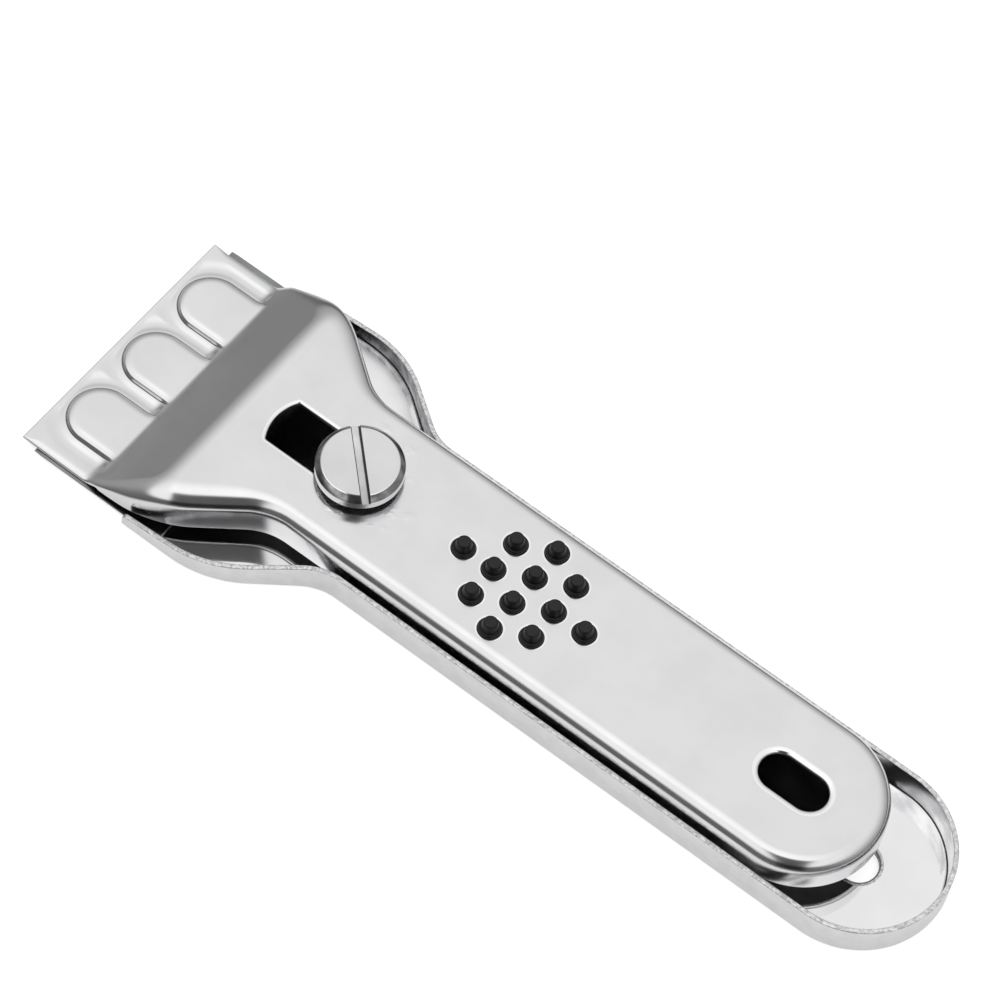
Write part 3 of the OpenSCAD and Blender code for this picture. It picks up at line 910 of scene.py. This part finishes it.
# Edge of one half of the head, as inset from its side and depth below its top: side, bevel, crest, top
flat_count = 12
flat_inset = np.linspace(cap_chamfer + 0.6, cap_half - slot_side, flat_count)
inset, below = np.concatenate([
    [[0, slot_depth], [0, cap_chamfer + 0.1], [0.03, cap_chamfer - 0.02]],
    [[cap_chamfer - 0.05, 0.07], [cap_chamfer + 0.08, 0]],
    np.column_stack([flat_inset, np.zeros(flat_count)]),
]).T
cap_radius = cap_half - inset
open_angle = np.arcsin(np.clip(slot_side / cap_radius, 0, 1))
cap_share = np.linspace(0, 1, 61)[:, None]
angle = open_angle + cap_share * (np.pi - 2 * open_angle)
half_cap = np.dstack([
    cap_radius * np.cos(angle), cap_radius * np.sin(angle), cap_top - below + 0 * angle,
])
cap_rows, cap_columns = angle.shape
cap_faces = grid_faces(cap_rows, cap_columns)
cap_side, cap_bevel, cap_crest, cap_flat = np.split(cap_faces, [1, 3, 4], axis=1)
first_row = np.arange(cap_columns)
slot_wall = np.concatenate([first_row, (cap_rows - 1) * cap_columns + first_row[-2::-1]])[None]

# Below the floor of the slot the screw is round, with points that meet those of both halves
mouth_angle = np.linspace(-open_angle[0], open_angle[0], 7)
gap_angle = mouth_angle[1:-1]
round_angle = np.concatenate([angle[:, 0], np.pi + gap_angle, np.pi + angle[:, 0], gap_angle])[:, None]
low_radius, low_z = np.array([
    [cap_half, slot_floor], [cap_half, cap_under + cap_foot], [cap_half - cap_foot, cap_under],
    [shank_half, cap_under], [shank_half, shank_end + shank_chamfer],
    [shank_half - shank_chamfer, shank_end], [0, shank_end],
]).T
lower = np.dstack([
    low_radius * np.cos(round_angle), low_radius * np.sin(round_angle), low_z + 0 * round_angle,
])
slot_end = np.column_stack([cap_half * np.cos(mouth_angle), cap_half * np.sin(mouth_angle)])
slot_bed = np.dstack([[slot_end, slot_end * [-1, 1]], np.full((2, len(slot_end), 1), slot_floor)])
bed_faces = grid_faces(2, len(slot_end))
milled_steel = polished_steel(
    "milled_steel", (0.86, 0.86, 0.87), (0.50, 0.50, 0.51), (0.30, 0.45), line_depth=0.006, line_scale=0.3)
shaded_steel = polished_steel(
    "shaded_steel", (0.12, 0.12, 0.12), (0.06, 0.06, 0.06), (0.40, 0.50), line_depth=0.001)
# Painted shade: a dark, patchy copy of the turned steel for the bevel of the head.
bevel_painted_shade = polished_steel(
    "bevel_painted_shade", (0.52, 0.52, 0.53), (0.10, 0.10, 0.10), (0.10, 0.20), line_depth=0.003, haze_scale=420)
turn_slot = np.array([
    [math.cos(slot_turn), math.sin(slot_turn), 0], [-math.sin(slot_turn), math.cos(slot_turn), 0], [0, 0, 1],
])
# The bevel takes a painted shade, the crest a painted highlight, and the walls and ends of the slot the
# painted shade of shaded_steel.
cap_shells = [
    (half_cap * half @ turn_slot, faces, number)
    for half in (np.array([1, 1, 1]), np.array([-1, -1, 1]))
    for faces, number in ((cap_side, 0), (cap_flat, 0), (cap_bevel, 3), (cap_crest, 4), (slot_wall, 2))
]
screw = make_piece("slotted_screw", cap_shells + [
    (lower @ turn_slot, grid_faces(len(round_angle), len(low_z), True), 0),
    (slot_bed @ turn_slot, bed_faces[:, 1:-1], 1),
    (slot_bed @ turn_slot, bed_faces[:, [0, -1]], 2),
], "screw", "clamp_screw",
    [turned_steel, milled_steel, shaded_steel, bevel_painted_shade, rim_painted_highlight], sharp=25)
soft_edges = screw.modifiers.new("soft_edges", "BEVEL")
soft_edges.width = 0.07 * MM
soft_edges.segments = 2
soft_edges.limit_method = "ANGLE"
soft_edges.angle_limit = math.radians(40)

# Floor and light
# A plain white table, which the camera and the metal see as white apart from the tool's own shadow,
# under a wide soft light overhead that falls off to a darker surround.
floor_half = 6.0
floor_z = -0.02 * MM
floor_mesh = bpy.data.meshes.new("table")
floor_mesh.from_pydata(
    [(-floor_half, -floor_half, floor_z), (floor_half, -floor_half, floor_z),
     (floor_half, floor_half, floor_z), (-floor_half, floor_half, floor_z)], [], [(0, 1, 2, 3)])
table = bpy.data.objects.new("table", floor_mesh)
bpy.context.scene.collection.objects.link(table)


def calculate(tree, operation, *values):
    """Math node of a tree. Each value is a number or the output of another node."""
    node = tree.nodes.new("ShaderNodeMath")
    node.operation = operation
    for socket, value in zip(node.inputs, values):
        if isinstance(value, float):
            socket.default_value = value
        else:
            tree.links.new(value, socket)
    return node.outputs["Value"]


def ramp(tree, value, low, high, bottom, top):
    """Node of a tree that steps smoothly from bottom to top as the value goes from low to high."""
    step = tree.nodes.new("ShaderNodeMapRange")
    step.interpolation_type = "SMOOTHSTEP"
    for name, number in (("From Min", low), ("From Max", high), ("To Min", bottom), ("To Max", top)):
        step.inputs[name].default_value = number
    tree.links.new(value, step.inputs["Value"])
    return step.outputs["Result"]


def table_white():
    """White paint that glows for the camera. For the metal it glows and is white only round the tool,
    and fades to dark grey further away."""
    material = bpy.data.materials.new("table_white")
    material.use_nodes = True
    tree = material.node_tree
    surface = tree.nodes["Principled BSDF"]
    surface.inputs["Roughness"].default_value = 1
    surface.inputs["Specular IOR Level"].default_value = 0
    surface.inputs["Emission Color"].default_value = (1, 1, 1, 1)
    seen = tree.nodes.new("ShaderNodeLightPath")
    place = tree.nodes.new("ShaderNodeTexCoord")
    squeeze = tree.nodes.new("ShaderNodeMapping")
    squeeze.inputs["Scale"].default_value = (12, 28, 1)
    squeeze.inputs["Location"].default_value = (-0.17, 0, 0)
    distance = tree.nodes.new("ShaderNodeVectorMath")
    distance.operation = "LENGTH"
    fade = tree.nodes.new("ShaderNodeMix")
    fade.data_type = "RGBA"
    fade.inputs["A"].default_value = (0.80, 0.80, 0.80, 1)
    fade.inputs["B"].default_value = (0.16, 0.16, 0.16, 1)
    tree.links.new(place.outputs["Object"], squeeze.inputs["Vector"])
    tree.links.new(squeeze.outputs["Vector"], distance.inputs[0])
    mirrored = seen.outputs["Is Glossy Ray"]
    dimmed = calculate(tree, "MULTIPLY", ramp(tree, distance.outputs["Value"], 1.0, 1.7, 0, 1), mirrored)
    nearby = calculate(tree, "SUBTRACT", mirrored, dimmed)
    direct = calculate(tree, "MULTIPLY", seen.outputs["Is Camera Ray"], 0.7)
    glow = calculate(tree, "MULTIPLY_ADD", nearby, 0.3, direct)
    tree.links.new(glow, surface.inputs["Emission Strength"])
    tree.links.new(dimmed, fade.inputs["Factor"])
    tree.links.new(fade.outputs["Result"], surface.inputs["Base Color"])
    return material


floor_mesh.materials.append(table_white())

world = bpy.data.worlds.new("studio")
bpy.context.scene.world = world
world.use_nodes = True
sky = world.node_tree
sky_place = sky.nodes.new("ShaderNodeTexCoord")


def along(axis):
    """World node that measures the direction of view along an axis."""
    dot = sky.nodes.new("ShaderNodeVectorMath")
    dot.operation = "DOT_PRODUCT"
    dot.inputs[1].default_value = axis
    sky.links.new(sky_place.outputs["Generated"], dot.inputs[0])
    return dot.outputs["Value"]


def between(share, first, second):
    """World node that mixes two values by a share."""
    mix = sky.nodes.new("ShaderNodeMix")
    sky.links.new(share, mix.inputs["Factor"])
    sky.links.new(first, mix.inputs["A"])
    sky.links.new(second, mix.inputs["B"])
    return mix.outputs["Result"]


# The sky brightens with height, sooner on the near side, with a brighter patch overhead and a dark
# upright band behind the camera, which the bent edges mirror
climb = along((0, 0, 1))
far = along((0, 1, 0))
near_rise = ramp(sky, climb, 0.38, 0.60, 0, 1)
far_rise = ramp(sky, climb, 0, 1.06, 0, 1.12)
rise = between(ramp(sky, far, -0.5, 0.3, 0, 1), near_rise, far_rise)
horizon = ramp(sky, far, -1, 1, 0.13, 0.40)
level_light = between(rise, horizon, ramp(sky, far, -0.3, 0.5, 1.02, 0.87))
overhead = ramp(sky, along((-0.1, -0.02, 0.995)), 0.90, 0.99, 0, 0.18)
off_band = calculate(sky, "ABSOLUTE", along((0.868, 0.497, 0)))
behind = ramp(sky, along((0.497, -0.868, 0)), 0.2, 0.35, 0, 1)
band = calculate(sky, "MULTIPLY", ramp(sky, off_band, 0.17, 0.32, 1, 0), behind)
open_sky = calculate(sky, "ADD", level_light, overhead)
sky_light = calculate(sky, "MULTIPLY", open_sky, ramp(sky, band, 0, 1, 1, 0.08))
background = sky.nodes["Background"]
background.inputs["Color"].default_value = (1, 1, 1, 1)
sky.links.new(sky_light, background.inputs["Strength"])

bpy.context.scene.view_settings.view_transform = "Standard"
